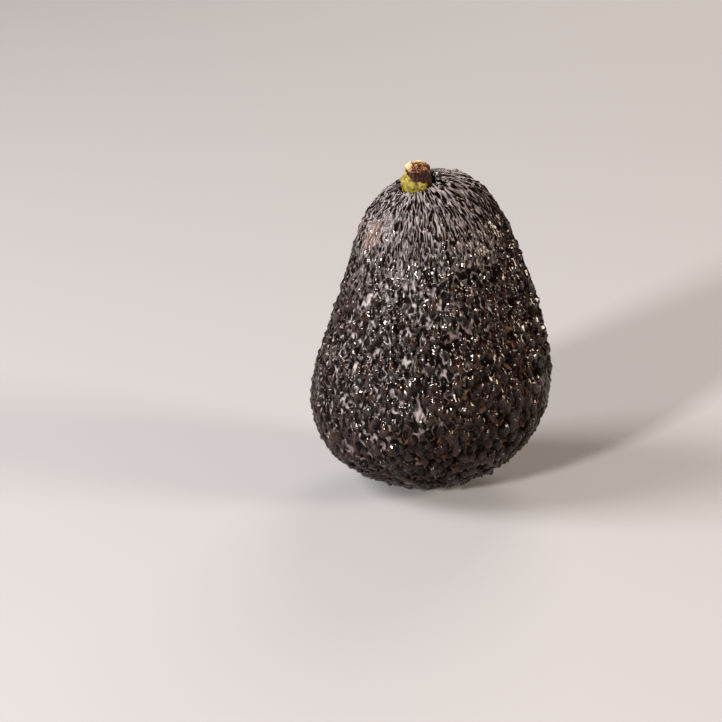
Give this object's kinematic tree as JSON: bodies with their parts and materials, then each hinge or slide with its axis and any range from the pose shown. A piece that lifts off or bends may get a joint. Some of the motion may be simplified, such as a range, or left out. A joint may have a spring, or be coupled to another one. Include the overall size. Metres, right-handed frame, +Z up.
{
  "type": "avocado",
  "caption": "Whole ripe avocado with dark pebbled skin, standing on its blossom end, with the stub of its stem in the crown.",
  "frame": {"origin": "centre of the small flat spot at the blossom end, which the fruit rests on", "axes": "+Z up along the fruit's height, towards the crown; -Y is the front, which the stem leans to; +X is the side whose belly sits higher"},
  "size_m": [0.0735, 0.072, 0.1007],
  "materials": {
    "avocado_skin": "pebbled skin with a waxy sheen",
    "stem_bark": "rough bark, green where it has peeled"
  },
  "bodies": {
    "root": {"fruit": "avocado_skin", "stem_stub": "stem_bark"}
  },
  "joints": []
}
